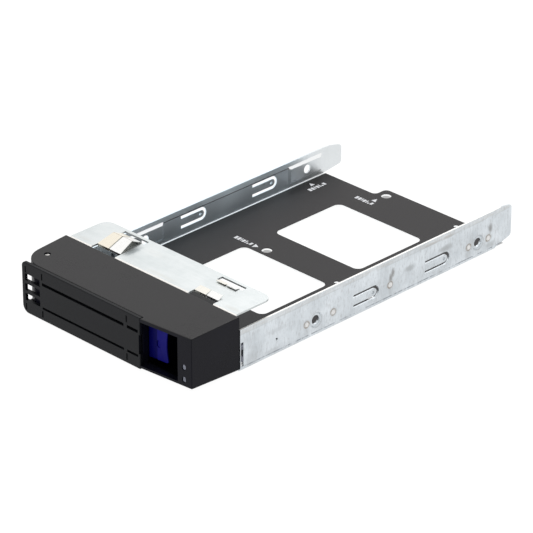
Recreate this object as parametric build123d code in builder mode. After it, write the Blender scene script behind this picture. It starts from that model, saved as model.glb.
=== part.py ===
from build123d import *
import math
import os

os.makedirs("parts", exist_ok=True)

# Hot swap drive caddy, millimetres. X runs across, the bezel faces -Y, Z is up.
# The origin is the middle of the footprint, on the underside of the tray.

# Drives that the tray carries
drive_width = 101.6
side_hole_pitch = 101.6
side_hole_height = 6.35
side_hole_radius = 2.1
small_hole_pitch_x = 61.72
small_hole_pitch_y = 76.6
small_hole_radius = 2.2

# Overall length; cuts run a little past a surface, and joined roots sink into one
overall_length = 199.0
over = 1.0
root = 0.2
front_y = -overall_length / 2
rear_y = overall_length / 2

# Folded tray
sheet = 0.8
bend_inner = 0.5
drive_side_gap = 1.8
rail_top_left = 13.9
rail_top_right = 19.6
rail_gap = 0.1
tab_length = 11.0
tab_inward = 0.8
tab_top_drop = 1.6
tab_top_length = 7.5
tab_toe_start = 1.1
tab_toe_height = 3.2
tab_corner_radius = 1.6
tab_cut_gap = 0.1
base_setback_left = 10.1
base_setback_right = 2.7
base_corner_radius = 2.5
base_relief = 2.6
rail_inner = drive_width / 2 + drive_side_gap
rail_outer = rail_inner + sheet
flat_half = rail_inner - bend_inner
tab_start = rear_y - tab_length

# Bezel body
bezel_depth = 30.0
bezel_top = 25.6
bezel_bottom_rear = 1.0
bezel_bottom_front = 2.6
rail_proud = 0.4
wall = 1.6
top_wall = 1.6
floor_top = 3.6
corner_inset = 2.6
corner_radius = 11.8
front_sweep = 2.7
edge_radius = 0.4
half_bezel = rail_outer - rail_proud
bezel_back = front_y + bezel_depth
rail_front = bezel_back + rail_gap
corner_x = -half_bezel + corner_inset
top_under = bezel_top - top_wall
front_right_y = front_y + front_sweep

# Insulating film and the drive's seat above it
film = 0.2
film_setback = 8.1
film_inset = 0.15
film_right_setback = 3.2
film_hole_margin = 0.15
film_front = bezel_back + film_setback
film_right = rail_inner - film_right_setback
hole_z = sheet + film + side_hole_height

# Hole places along the tray
side_hole_setback = 22.5
small_hole_setback = 7.9
small_hole_inset = 6.56
spare_hole_offset = 18.92
spare_hole_radius = 1.0
base_step_offset = 4.8
side_hole_rear = rear_y - side_hole_setback
side_hole_front = side_hole_rear - side_hole_pitch
side_hole_middle = (side_hole_rear + side_hole_front) / 2
small_hole_rear = rear_y - small_hole_setback
small_hole_front = small_hole_rear - small_hole_pitch_y
small_hole_right = rail_inner - small_hole_inset
small_hole_left = small_hole_right - small_hole_pitch_x
spare_hole_x = small_hole_right - spare_hole_offset
base_step_x = small_hole_left - base_step_offset

# Windows in the base, in front of and behind the front pair of small holes
window_width = 51.8
window_radius = 3.3
window_front_length = 40.4
window_rear_length = 41.5
window_front_gap = 4.0
window_rear_gap = 14.7
window_front_centre = small_hole_front - window_front_gap - window_front_length / 2
window_rear_centre = small_hole_front + window_rear_gap + window_rear_length / 2

# Spring tongues cut in the rails
tongue_slit = 1.4
tongue_width = 4.8
tongue_length = 15.6
tongue_height = 7.6
tongue_ahead = 28.2
tongue_behind = 16.4
tongue_dimple_radius = 0.7
tongue_dimple_setback = 3.64
tongue_starts = (side_hole_middle - tongue_ahead, side_hole_middle + tongue_behind)

# Raised drive pads round the holes of the left rail
pad_height = 0.9
pad_taper = 50
pad_half_height = 4.3
pad_front_ahead = 19.4
pad_front_behind = 11.8
pad_rear_ahead = 11.6
pad_rear_behind = 10.0
pad_outer_shrink = 0.5
pad_bottom = hole_z - pad_half_height
pad_top = hole_z + pad_half_height
pad_front_span = (side_hole_front - pad_front_ahead, side_hole_front + pad_front_behind)
pad_rear_span = (side_hole_rear - pad_rear_ahead, side_hole_rear + pad_rear_behind)
coin_line_drop = 2.6
coin_line_width = 0.4
coin_line_depth = 0.2

# Dished holes and studs on the right rail
dish_radius = 3.4
dish_depth = 0.6
dish_taper = 35
dish_backing = 1.2
stud_radius = 1.15
stud_height = 0.3
stud_front_ahead = 5.8
stud_front_behind = 10.2
stud_middle_ahead = 5.5
stud_rear_ahead = 6.3
stud_rear_behind = 6.5
stud_places = (
    side_hole_front - stud_front_ahead,
    side_hole_front + stud_front_behind,
    side_hole_middle - stud_middle_ahead,
    side_hole_rear - stud_rear_ahead,
    side_hole_rear + stud_rear_behind,
)
pinhole_radius = 0.6
pinhole_ahead = 1.2
pinhole_y = (rail_front + side_hole_front) / 2 - pinhole_ahead

# Finger recess at the right of the bezel, and the column beside it
column_width = 7.5
column_rib = 1.4
recess_width = 20.3
recess_depth = 14.1
recess_wall = 1.2
recess_right = half_bezel - column_width
recess_back = front_y + recess_depth
rib_right = recess_right + column_rib
step_x = recess_right - recess_width
partition_x = step_x - recess_wall

# Lever across the front
lever_setback = 0.2
lever_thickness = 1.5
lever_gap = 0.3
lever_inset = 4.8
lever_bottom = 1.6
lever_corner_top = 2.0
lever_corner_bottom = 3.6
lever_corner_right = 0.5
lever_edge_radius = 0.4
lever_top = bezel_top
lever_left = -half_bezel + lever_inset
lever_right = step_x - lever_gap
lever_face = front_y + lever_setback
lever_back = lever_face + lever_thickness
wall_face = lever_back + lever_gap

# Lever's windows, vent grooves and shallow marks
lever_window_inset = 2.0
lever_window_width = 9.3
lever_window_height = 3.3
lever_window_pitch = 4.75
lever_window_rise = 0.5
groove_upper_drop = 6.6
groove_lower_rise = 6.0
groove_upper_height = 1.4
groove_lower_height = 1.1
groove_left_inset = 12.8
groove_right_inset = 1.2
groove_bridge_inset = 8.8
groove_bridge_width = 2.0
vent_inset = 2.0
vent_margin = 0.3
mark_width = 0.8
mark_depth = 0.35
mark_height = 3.0
mark_low_gap = 1.6
mark_high_gap = 1.9
end_notch = 0.7
lever_window_left = lever_left + lever_window_inset
lever_window_middle = (lever_bottom + lever_top) / 2 + lever_window_rise
lever_window_heights = [lever_window_middle + step * lever_window_pitch for step in (-1, 0, 1)]
groove_upper_z = lever_top - groove_upper_drop
groove_lower_z = lever_bottom + groove_lower_rise
groove_left = lever_left + groove_left_inset
groove_bridge = lever_right - groove_bridge_inset
groove_right = lever_right - groove_right_inset

# Lever's hinge
pivot_inset = 3.1
pivot_depth = 12.3
pin_radius = 1.2
pin_running_gap = 0.05
pin_floor = 0.3
pin_sink = 0.5
pin_sink_radius = 1.45
arm_thickness = 2.0
arm_gap = 0.6
arm_boss_radius = 3.6
arm_root_inset = 1.4
arm_root_width = 9.3
barrel_radius = 3.0
arm_slot_width = 14.2
arm_slot_past = 6.3
arm_slot_margin = 0.4
pivot_x = lever_left + pivot_inset
pivot_y = front_y + pivot_depth
arm_low = floor_top + arm_gap
arm_high = top_under - arm_gap - arm_thickness
arm_root_left = lever_left + arm_root_inset
arm_root_right = arm_root_left + arm_root_width
arm_slot_edge_x = lever_left + arm_slot_width
arm_slot_edge_y = pivot_y + arm_slot_past

# Latch button in the recess
button_setback = 5.3
button_depth = 7.0
button_width = 10.4
button_bottom = 5.9
button_top_drop = 3.2
button_scoop = 1.0
button_clearance = 0.3
button_edge_radius = 1.4
shoulder_step = 0.5
shoulder_length = 5.0
bar_height = 3.6
bar_depth = 6.0
bar_reach = 14.0
bar_rest_gap = 0.3
bar_rib_width = 1.5
bar_rib_inset = 1.0
dimple_radius_x = 1.3
dimple_radius_z = 1.9
dimple_depth = 0.3
dimple_drop = 0.5
button_top = bezel_top - button_top_drop
button_right = step_x + button_width
button_face = front_y + button_setback

# Lever's catch and the button's hook
catch_inset = 12.9
catch_width = 2.0
catch_rise = 1.2
catch_height = 5.6
catch_reach = 7.7
catch_sweep = 1.5
catch_play = 0.8
catch_margin = 0.3
barb_length = 1.5
barb_depth = 1.8
hook_gap = 0.5
hook_length = 5.0
hook_depth = 1.7
hook_low_clearance = 0.2
catch_x = lever_right - catch_inset
catch_low = button_bottom + bar_height + catch_rise
catch_high = catch_low + catch_height
bar_left = catch_x - bar_reach

# Return spring of the button
guide_radius = 1.0
guide_reach = 5.0
guide_bore_depth = 10.0
button_spring_radius = 1.5
button_spring_wire = 0.4
button_spring_turns = 8
button_spring_room = 12.0
post_width = 4.0
post_rise = 3.3
post_left = bar_left - button_spring_room - post_width
guide_y = button_face + bar_depth / 2
guide_z = button_bottom + bar_height / 2
post_top = guide_z + post_rise

# Torsion spring of the lever
lever_spring_radius = 3.85
lever_spring_wire = 0.7
lever_spring_turns = 5
lever_spring_lift = 0.8
lever_spring_pitch = 0.95
lever_spring_front_leg = 2.4
lever_spring_leg_gap = 0.1
lever_spring_low = arm_low + arm_thickness + lever_spring_lift

# Light pipes in the right column, and the slot where they come out of the right rail
pipe_inset = 4.2
pipe_lower_rise = 1.9
pipe_pitch = 5.7
pipe_width = 1.7
pipe_height = 2.3
pipe_clearance = 0.2
pipe_sunk = 0.3
end_slot_width = 1.5
end_slot_strip = 0.3
end_slot_below = 3.4
end_slot_above = 2.1
pipe_x = half_bezel - pipe_inset
pipe_heights = (floor_top + pipe_lower_rise, floor_top + pipe_lower_rise + pipe_pitch)
end_slot_bottom = pipe_heights[0] - end_slot_below
end_slot_top = pipe_heights[1] + end_slot_above

# Back panel and shield plate
panel_thickness = 1.6
panel_clearance = 0.3
plate_thickness = 0.8
plate_proud = 0.1
plate_inset = 2.3
plate_depth = 21.8
plate_corner_radius = 4.5
plate_bend_radius = 1.0
flange_below = 5.5
plate_top = bezel_top + plate_proud
plate_half = half_bezel - plate_inset
plate_under = plate_top - plate_thickness
plate_middle = plate_top - plate_thickness / 2
plate_back = bezel_back + plate_depth

# Contact springs on the shield plate
notch_depth = 4.0
clip_inset = 20.9
clip_width = 14.2
clip_taper = 1.3
clip_margin = 0.3
clip_thickness = 0.25
clip_gap = 0.05
clip_rise = 3.0
clip_bend = 0.2
clip_crest_bend = 1.0
clip_slit = 0.6
clip_slit_past = 4.0
clip_crest_depth = 11.7
clip_slot_setback = 1.7
clip_slot_width = 3.1
clip_tail = 2.2
clip_tail_lift = 0.5
clip_hook = 2.8
clip_hook_lift = 1.0
clip_offset = plate_half - clip_inset
clip_crest_y = bezel_back + clip_crest_depth
clip_slot_rear = plate_back - clip_slot_setback

# Fasteners, and the tray's tongue that they hold
shield_screw_inset = 6.7
shield_screw_drop = 6.5
shield_boss_width = 6.4
shield_boss_length = 8.0
bezel_screw_edge = 11.0
bezel_screw_inset = 6.4
screw_radius = 1.25
screw_clearance = 0.2
screw_head_radius = 2.4
screw_head_height = 1.3
screw_head_sunk = 0.1
screw_past = 1.0
shield_screw_length = 9.0
drive_recess_radius = 0.9
tongue_inset = 16.1
tongue_reach = 14.4
ramp_setback = 6.1
shield_screw_x = plate_half - shield_screw_inset
shield_screw_z = bezel_top - shield_screw_drop
flange_bottom = shield_screw_z - flange_below
tongue_half = flat_half - tongue_inset
bezel_screw_x = tongue_half - bezel_screw_edge
ramp_start = bezel_back + ramp_setback


def block(x0, x1, y0, y1, z0, z1, mode=Mode.ADD):
    """Box between two corners, in the running part."""
    with Locations(((x0 + x1) / 2, (y0 + y1) / 2, (z0 + z1) / 2)):
        Box(x1 - x0, y1 - y0, z1 - z0, mode=mode)


def rectangle(x0, x1, y0, y1, mode=Mode.ADD):
    """Rectangle between two corners, in the running sketch."""
    with Locations(((x0 + x1) / 2, (y0 + y1) / 2)):
        Rectangle(x1 - x0, y1 - y0, mode=mode)


def u_slit(start, height):
    """Slit round a spring tongue whose tip points to the rear, in the running sketch."""
    outer = (tongue_width + tongue_slit) / 2
    inner = outer - tongue_slit
    centre = start + tongue_length - outer
    rectangle(start, centre, height - outer, height + outer)
    with Locations((centre, height)):
        Circle(outer)
        Circle(inner, mode=Mode.SUBTRACT)
    rectangle(start, centre, height - inner, height + inner, mode=Mode.SUBTRACT)


def base_outline(inset, front):
    """Flat of the base with its stepped rear edge, in the running sketch."""
    side = flat_half - inset
    rear_left = rear_y - base_setback_left - inset
    rear_right = rear_y - base_setback_right - inset
    with BuildLine() as outline:
        Polyline(
            (-side, front),
            (-side, rear_left),
            (base_step_x, rear_left),
            (base_step_x, rear_right),
            (side - base_relief, rear_right),
            (side - base_relief, rear_left),
            (side, rear_left),
            (side, front),
            close=True,
        )
    make_face(outline.edges())
    rounded = (base_step_x, rear_left), (base_step_x, rear_right), (side - base_relief, rear_right)
    for corner in rounded:
        fillet(vertices().sort_by_distance(corner)[0], base_corner_radius)


def base_windows(mode):
    """The two large windows, in the running sketch."""
    for centre, length in (
        (window_front_centre, window_front_length),
        (window_rear_centre, window_rear_length),
    ):
        with Locations((0, centre)):
            RectangleRounded(window_width, length, window_radius, mode=mode)


def base_holes(margin, mode):
    """Drive holes and the small spare pair, in the running sketch."""
    for y in (small_hole_front, small_hole_rear):
        with Locations((small_hole_left, y), (small_hole_right, y)):
            Circle(small_hole_radius + margin, mode=mode)
        with Locations((spare_hole_x, y)):
            Circle(spare_hole_radius + margin, mode=mode)


def bezel_outline():
    """Plan of the bezel, with its large front left corner, in the running sketch."""
    with BuildLine() as outline:
        Polyline(
            (-half_bezel, bezel_back),
            (corner_x, wall_face),
            (step_x, wall_face),
            (step_x, front_y),
            (half_bezel, front_right_y),
            (half_bezel, bezel_back),
            close=True,
        )
    make_face(outline.edges())
    fillet(vertices().sort_by_distance((corner_x, wall_face))[0], corner_radius)


def front_slant(x):
    """How far the right part of the front lies behind its foremost line."""
    return front_sweep * (x - step_x) / (half_bezel - step_x)


def bezel_underside(y):
    """Height of the sloping underside at a place along Y."""
    share = (bezel_back - y) / bezel_depth
    return bezel_bottom_rear + share * (bezel_bottom_front - bezel_bottom_rear)


def end_profile(top, side):
    """Cuts a rail's rear end to its rising toe, rounded corners and sloped top."""
    start = side * (rail_inner - tab_inward - tab_cut_gap)
    with BuildSketch(Plane.YZ.offset(start)) as waste:
        rectangle(tab_start, rear_y + over, -over, top + over)
        with BuildLine() as kept:
            edge = FilletPolyline(
                (tab_start, tab_toe_start),
                (rear_y, tab_toe_height),
                (rear_y, top - tab_top_drop),
                (rear_y - tab_top_length, top),
                radius=tab_corner_radius,
            )
            Polyline(edge @ 1, (tab_start, top), edge @ 0)
        make_face(kept.edges(), mode=Mode.SUBTRACT)
    extrude(waste.sketch, amount=side * (rail_outer + over) - start, mode=Mode.SUBTRACT)


def rail_tab(side, top):
    """Rear end of a rail, bent slightly inwards as a lead-in."""
    with BuildSketch() as tab:
        with BuildLine():
            Polyline(
                (side * rail_outer, tab_start),
                (side * rail_inner, tab_start),
                (side * (rail_inner - tab_inward), rear_y),
                (side * (rail_outer - tab_inward), rear_y),
                close=True,
            )
        make_face()
    extrude(tab.sketch, amount=top)


pin_bottom = bezel_underside(pivot_y) + pin_floor

# The tray: one sheet, folded up on both sides
inner_face_right = Plane(origin=(rail_inner, 0, 0), x_dir=(0, -1, 0), z_dir=(-1, 0, 0))
outer_face_right = Plane(origin=(rail_outer, 0, 0), x_dir=(0, -1, 0), z_dir=(-1, 0, 0))

with BuildPart() as tray_pan:
    with BuildSketch(Plane.XZ.offset(-tab_start)) as fold:
        with BuildLine():
            Polyline(
                (-rail_outer, rail_top_left),
                (-rail_outer, 0),
                (rail_outer, 0),
                (rail_outer, rail_top_right),
                (rail_inner, rail_top_right),
                (rail_inner, sheet),
                (-rail_inner, sheet),
                (-rail_inner, rail_top_left),
                close=True,
            )
        make_face()
        fillet(fold.vertices().group_by(Axis.Y)[0], bend_inner + sheet)
        fillet(fold.vertices().filter_by(lambda v: abs(v.Y - sheet) < 0.01), bend_inner)
    extrude(amount=tab_start - rail_front)
    block(-flat_half, flat_half, rail_front - over, tab_start, -over, sheet + over, mode=Mode.SUBTRACT)
    with BuildSketch():
        base_outline(0, ramp_start)
    extrude(amount=sheet)
    rail_tab(-1, rail_top_left)
    rail_tab(1, rail_top_right)
    end_profile(rail_top_left, -1)
    end_profile(rail_top_right, 1)

    # Tongue that steps up into the bezel
    mitre = sheet * math.tan(math.radians(22.5))
    with BuildSketch(Plane.YZ.offset(-tongue_half)):
        with BuildLine():
            Polyline(
                (ramp_start + mitre, 0),
                (ramp_start, 0),
                (ramp_start - floor_top, floor_top),
                (bezel_back - tongue_reach, floor_top),
                (bezel_back - tongue_reach, floor_top + sheet),
                (ramp_start - floor_top + mitre, floor_top + sheet),
                (ramp_start + mitre, sheet),
                close=True,
            )
        make_face()
    extrude(amount=2 * tongue_half)

    # Windows and holes in the base
    with BuildSketch(Plane.XY.offset(-over)):
        base_windows(Mode.ADD)
        base_holes(0, Mode.ADD)
    extrude(amount=sheet + 2 * over, mode=Mode.SUBTRACT)
    for x in (-bezel_screw_x, bezel_screw_x):
        with Locations((x, bezel_back - bezel_screw_inset, floor_top + sheet / 2)):
            Cylinder(screw_radius, 3 * sheet, mode=Mode.SUBTRACT)

    # Drive pads pressed into the left rail
    for start, end in (pad_front_span, pad_rear_span):
        with BuildSketch(Plane.YZ.offset(-rail_inner)):
            rectangle(start, end, pad_bottom, pad_top)
        extrude(amount=pad_height, taper=pad_taper)
        with BuildSketch(Plane.YZ.offset(-rail_outer)):
            rectangle(
                start + pad_outer_shrink,
                end - pad_outer_shrink,
                pad_bottom + pad_outer_shrink,
                pad_top - pad_outer_shrink,
            )
        extrude(amount=pad_height, taper=pad_taper, mode=Mode.SUBTRACT)

    # Dished holes in the right rail
    with BuildSketch(inner_face_right):
        with Locations((-side_hole_front, hole_z), (-side_hole_rear, hole_z)):
            Circle(dish_radius + dish_backing)
    extrude(amount=dish_depth, taper=dish_taper)
    with BuildSketch(outer_face_right):
        with Locations((-side_hole_front, hole_z), (-side_hole_rear, hole_z)):
            Circle(dish_radius)
    extrude(amount=dish_depth, taper=dish_taper, mode=Mode.SUBTRACT)

    # Studs on the right rail's outer face
    with BuildSketch(Plane.YZ.offset(rail_outer)):
        for y in stud_places:
            with Locations((y, hole_z)):
                Circle(stud_radius)
    extrude(amount=stud_height, taper=dish_taper)

    # Slits and holes through the rails
    with BuildSketch(Plane.YZ.offset(-rail_outer - over)):
        for start in tongue_starts:
            u_slit(start, tongue_height)
        with Locations((side_hole_front, hole_z), (side_hole_rear, hole_z)):
            Circle(side_hole_radius)
    extrude(amount=sheet + pad_height + 2 * over, mode=Mode.SUBTRACT)
    with BuildSketch(Plane.YZ.offset(rail_inner - dish_depth - over)):
        for start in tongue_starts:
            u_slit(start, tongue_height)
        with Locations((side_hole_front, hole_z), (side_hole_rear, hole_z)):
            Circle(side_hole_radius)
        with Locations((pinhole_y, hole_z)):
            Circle(pinhole_radius)
    extrude(amount=sheet + dish_depth + 2 * over, mode=Mode.SUBTRACT)

    # Dimples in the tips of the tongues
    for start in tongue_starts:
        dimple_y = start + tongue_length - tongue_dimple_setback
        with Locations((-rail_inner, dimple_y, tongue_height), (rail_outer, dimple_y, tongue_height)):
            Sphere(tongue_dimple_radius, mode=Mode.SUBTRACT)

    # Coined line under the left rail's top edge
    block(
        -rail_inner - coin_line_depth,
        -rail_inner + over,
        pad_front_span[1],
        pad_rear_span[0],
        rail_top_left - coin_line_drop - coin_line_width,
        rail_top_left - coin_line_drop,
        mode=Mode.SUBTRACT,
    )

    # Slot in the right rail's front end, where the light pipes come out
    block(
        rail_inner - over,
        rail_outer + over,
        rail_front + end_slot_strip,
        rail_front + end_slot_strip + end_slot_width,
        end_slot_bottom,
        end_slot_top,
        mode=Mode.SUBTRACT,
    )

# Film on the base
with BuildPart() as insulating_film:
    with BuildSketch(Plane.XY.offset(sheet)):
        base_outline(film_inset, film_front)
        base_windows(Mode.SUBTRACT)
        base_holes(film_hole_margin, Mode.SUBTRACT)
        rectangle(film_right, rail_inner, film_front - over, rear_y, mode=Mode.SUBTRACT)
    extrude(amount=film)

# Bezel housing
with BuildPart() as bezel_body:
    with BuildSketch():
        bezel_outline()
    extrude(amount=bezel_top)
    with BuildSketch(Plane.YZ.offset(-half_bezel - over)):
        with BuildLine():
            Polyline(
                (bezel_back + over, -over),
                (bezel_back + over, bezel_underside(bezel_back + over)),
                (front_y - over, bezel_underside(front_y - over)),
                (front_y - over, -over),
                close=True,
            )
        make_face()
    extrude(amount=2 * (half_bezel + over), mode=Mode.SUBTRACT)
    right_edge = bezel_body.edges().filter_by(Axis.Z).sort_by_distance((half_bezel, front_right_y, 0))[0]
    fillet(right_edge, edge_radius)
    fillet(bezel_body.faces().sort_by(Axis.Z)[-1].edges(), edge_radius)

    # Space for the mechanism, open to the back, and the channel of the light pipes
    with BuildSketch(Plane.XY.offset(floor_top)):
        bezel_outline()
        offset(amount=-wall)
        rectangle(partition_x, rib_right, front_y, recess_back + recess_wall, mode=Mode.SUBTRACT)
        rectangle(-half_bezel + 2 * wall, half_bezel - wall, bezel_back - 3 * wall, bezel_back)
    extrude(amount=top_under - floor_top, mode=Mode.SUBTRACT)

    # Finger recess
    block(step_x, recess_right, front_y - over, recess_back, floor_top, top_under, mode=Mode.SUBTRACT)

    # Window through which the button comes out
    block(
        partition_x - over,
        step_x + over,
        button_face - button_clearance,
        button_face + button_depth + button_clearance,
        button_bottom - button_clearance,
        button_top + button_clearance,
        mode=Mode.SUBTRACT,
    )

    # Slots round the corner for the lever's two arms
    for low, high in (
        (floor_top, arm_low + arm_thickness + arm_slot_margin),
        (arm_high - arm_slot_margin, top_under),
    ):
        block(
            -half_bezel - over,
            arm_slot_edge_x,
            front_y - over,
            arm_slot_edge_y,
            low,
            high,
            mode=Mode.SUBTRACT,
        )

    # Vents behind the lever's grooves, and the opening for its catch
    for middle, height in (
        (groove_upper_z, groove_upper_height),
        (groove_lower_z, groove_lower_height),
    ):
        block(
            groove_left + vent_inset,
            groove_right - vent_inset,
            wall_face - over,
            wall_face + wall + over,
            middle - height / 2 - vent_margin,
            middle + height / 2 + vent_margin,
            mode=Mode.SUBTRACT,
        )
    block(
        catch_x - barb_length - catch_sweep,
        catch_x + catch_width + catch_play,
        wall_face - over,
        wall_face + wall + over,
        catch_low - catch_margin,
        catch_high + catch_margin,
        mode=Mode.SUBTRACT,
    )

    # Seats of the hinge pin
    with Locations((pivot_x, pivot_y, (pin_bottom + bezel_top) / 2)):
        Cylinder(pin_radius, bezel_top - pin_bottom, mode=Mode.SUBTRACT)
    with Locations((pivot_x, pivot_y, bezel_top - pin_sink / 2)):
        Cylinder(pin_sink_radius, pin_sink, mode=Mode.SUBTRACT)

    # Post that holds the guide pin, and ribs under the button's bar
    block(post_left, post_left + post_width, button_face, button_face + bar_depth, floor_top, post_top)
    for x in (bar_left + bar_rib_inset, catch_x + 2 * catch_width):
        block(
            x,
            x + bar_rib_width,
            button_face + bar_rib_inset,
            button_face + bar_depth - bar_rib_inset,
            floor_top,
            button_bottom - bar_rest_gap,
        )
    with Locations(Location((post_left + post_width / 2, guide_y, guide_z), (0, 90, 0))):
        Cylinder(guide_radius, post_width + over, mode=Mode.SUBTRACT)

    # Bosses for the shield's screws
    for x in (-shield_screw_x, 0, shield_screw_x):
        block(
            x - shield_boss_width / 2,
            x + shield_boss_width / 2,
            bezel_back - panel_thickness - shield_boss_length,
            bezel_back - panel_thickness,
            shield_screw_z - shield_boss_width / 2,
            top_under,
        )
        with Locations(Location((x, bezel_back, shield_screw_z), (90, 0, 0))):
            Cylinder(screw_radius, 2 * shield_screw_length, mode=Mode.SUBTRACT)

    # Counterbored holes for the screws from below
    for x in (-bezel_screw_x, bezel_screw_x):
        y = bezel_back - bezel_screw_inset
        with Locations((x, y, floor_top / 2)):
            Cylinder(screw_radius + screw_clearance, floor_top, mode=Mode.SUBTRACT)
        with Locations((x, y, bezel_underside(y) + screw_head_height / 2)):
            Cylinder(
                screw_head_radius + screw_clearance,
                screw_head_height + 2 * screw_clearance,
                mode=Mode.SUBTRACT,
            )

    # Holes for the light pipes in the right column's face
    with BuildSketch(Plane.XZ.offset(-front_right_y - 3 * wall)):
        for z in pipe_heights:
            with Locations((pipe_x, z)):
                SlotOverall(
                    pipe_height + 2 * pipe_clearance,
                    pipe_width + 2 * pipe_clearance,
                    rotation=90,
                )
    extrude(amount=6 * wall, mode=Mode.SUBTRACT)

# Panel that closes the back of the housing
with BuildPart() as bezel_back_panel:
    block(
        -half_bezel + 2 * wall + panel_clearance,
        half_bezel - wall - panel_clearance,
        bezel_back - panel_thickness,
        bezel_back,
        floor_top + sheet + panel_clearance,
        top_under - panel_clearance,
    )
    with BuildSketch(Plane.XZ.offset(-bezel_back)):
        for x in (-shield_screw_x, 0, shield_screw_x):
            with Locations((x, shield_screw_z)):
                Circle(screw_radius + screw_clearance)
        for z in pipe_heights:
            rectangle(
                pipe_x - pipe_width / 2 - pipe_clearance,
                pipe_x + pipe_width / 2 + pipe_clearance,
                z - pipe_height / 2 - pipe_clearance,
                z + pipe_height / 2 + pipe_clearance,
            )
    extrude(amount=panel_thickness, mode=Mode.SUBTRACT)

# Lever
with BuildPart() as lever:
    with BuildSketch(Plane.XZ.offset(-lever_back)) as plate_face:
        rectangle(lever_left, lever_right, lever_bottom, lever_top)
        left_corners = plate_face.vertices().group_by(Axis.X)[0].sort_by(Axis.Y)
        fillet(left_corners[0], lever_corner_bottom)
        left_corner = plate_face.vertices().sort_by_distance((lever_left, lever_top))[0]
        fillet(left_corner, lever_corner_top)
        fillet(plate_face.vertices().group_by(Axis.X)[-1], lever_corner_right)
    extrude(amount=lever_thickness)
    fillet(lever.faces().sort_by(Axis.Y)[0].outer_wire().edges(), lever_edge_radius)

    # Windows and vent grooves
    with BuildSketch(Plane.XZ.offset(-lever_back)):
        for z in lever_window_heights:
            rectangle(
                lever_window_left,
                lever_window_left + lever_window_width,
                z - lever_window_height / 2,
                z + lever_window_height / 2,
            )
        for middle, height in (
            (groove_upper_z, groove_upper_height),
            (groove_lower_z, groove_lower_height),
        ):
            low = middle - height / 2
            high = middle + height / 2
            rectangle(groove_left, groove_bridge - groove_bridge_width / 2, low, high)
            rectangle(groove_bridge + groove_bridge_width / 2, groove_right, low, high)
        rectangle(
            lever_right - end_notch,
            lever_right + over,
            groove_lower_z + groove_lower_height,
            groove_upper_z - groove_upper_height,
        )
    extrude(amount=lever_thickness, mode=Mode.SUBTRACT)

    # Shallow upright marks in the face
    for x in (lever_window_left + mark_width / 2, groove_left, groove_bridge + mark_width):
        for low in (lever_bottom + mark_low_gap, groove_upper_z + mark_high_gap):
            block(
                x - mark_width / 2,
                x + mark_width / 2,
                lever_face - over,
                lever_face + mark_depth,
                low,
                low + mark_height,
                mode=Mode.SUBTRACT,
            )

    # Hinge arms and barrel
    for low in (arm_low, arm_high):
        with BuildSketch(Plane.XY.offset(low)):
            with Locations((pivot_x, pivot_y)):
                Circle(arm_boss_radius)
            rectangle(arm_root_left, arm_root_right, lever_back - root, lever_back)
            make_hull()
        extrude(amount=arm_thickness)
    with Locations((pivot_x, pivot_y, (arm_low + arm_high + arm_thickness) / 2)):
        Cylinder(barrel_radius, arm_high + arm_thickness - arm_low)
        Cylinder(pin_radius + pin_running_gap, bezel_top, mode=Mode.SUBTRACT)

    # Catch behind the free end
    block(
        catch_x,
        catch_x + catch_width,
        lever_back - root,
        lever_back + catch_reach,
        catch_low,
        catch_high,
    )
    block(
        catch_x - barb_length,
        catch_x,
        lever_back + catch_reach - barb_depth,
        lever_back + catch_reach,
        catch_low,
        catch_high,
    )

# Hinge pin
with BuildPart() as lever_pivot_pin:
    with Locations((pivot_x, pivot_y, (pin_bottom + bezel_top - pin_sink) / 2)):
        Cylinder(pin_radius, bezel_top - pin_sink - pin_bottom)
    chamfer(lever_pivot_pin.edges().group_by(Axis.Z)[-1], pin_radius / 5)

# Torsion spring round the hinge barrel, with a leg that rests on the back panel
with BuildPart() as lever_spring:
    rear_leg = bezel_back - panel_thickness - lever_spring_leg_gap - pivot_y
    with BuildLine() as coil:
        turns = Helix(
            pitch=lever_spring_pitch,
            height=lever_spring_pitch * lever_spring_turns,
            radius=lever_spring_radius,
            center=(pivot_x, pivot_y, lever_spring_low),
        )
        Line(turns @ 0 - (turns % 0) * lever_spring_front_leg, turns @ 0)
        Line(turns @ 1, turns @ 1 + (turns % 1) * rear_leg)
    spring_path = coil.wires()[0]
    with BuildSketch(Plane(origin=spring_path @ 0, z_dir=spring_path % 0)):
        Circle(lever_spring_wire / 2)
    sweep(path=spring_path)

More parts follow.
